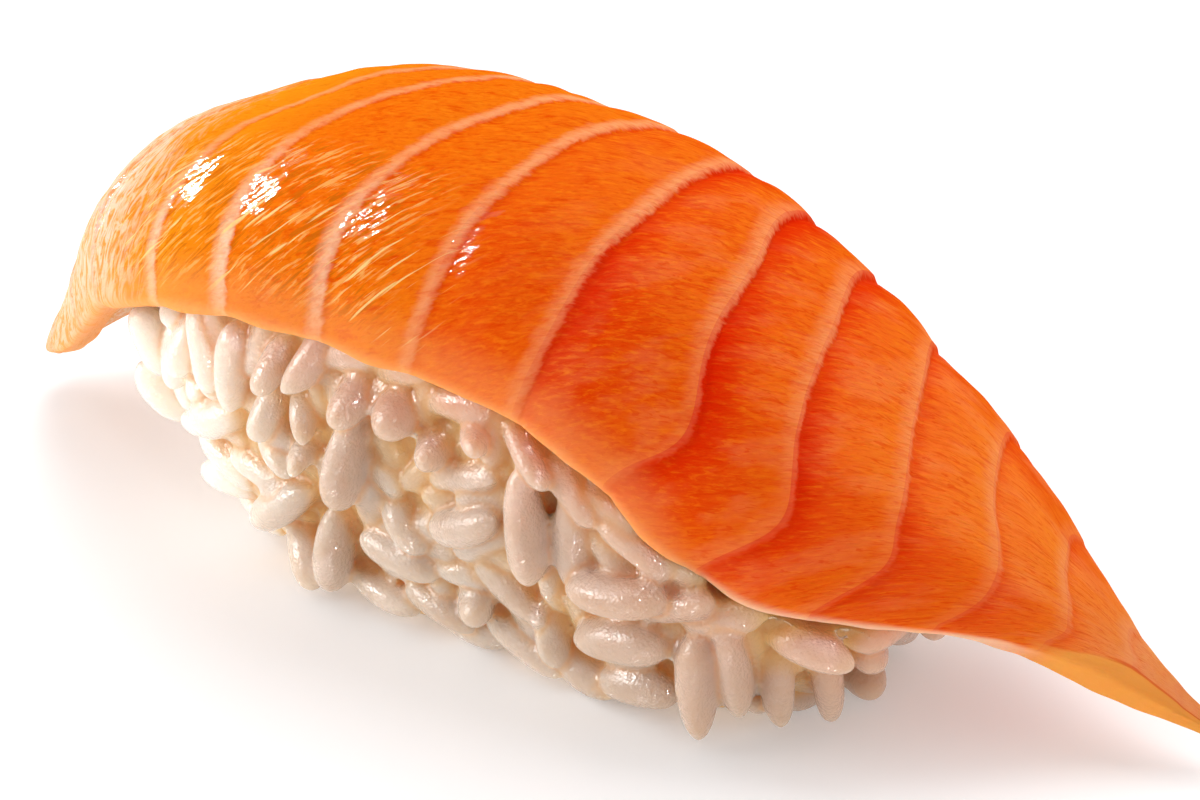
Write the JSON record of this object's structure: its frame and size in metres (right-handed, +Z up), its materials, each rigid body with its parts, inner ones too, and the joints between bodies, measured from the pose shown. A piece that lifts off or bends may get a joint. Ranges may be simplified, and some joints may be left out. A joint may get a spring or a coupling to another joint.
{
  "type": "salmon nigiri",
  "caption": "Salmon nigiri: a pressed bed of short-grain rice with a slice of raw salmon draped over it, its thin tail reaching down past the rice.",
  "frame": {"origin": "on the board, under the middle of the whole piece", "axes": "+X along the slice towards its thin tail, +Y across it, +Z up"},
  "size_m": [0.0897, 0.032, 0.0314],
  "materials": {
    "cooked_rice": "moist, translucent cooked grains with a soft sheen",
    "raw_salmon": "wet raw fish, orange with pale lines between the flakes"
  },
  "bodies": {
    "root": {"rice_bed": "cooked_rice", "salmon_slice": "raw_salmon"}
  },
  "joints": []
}
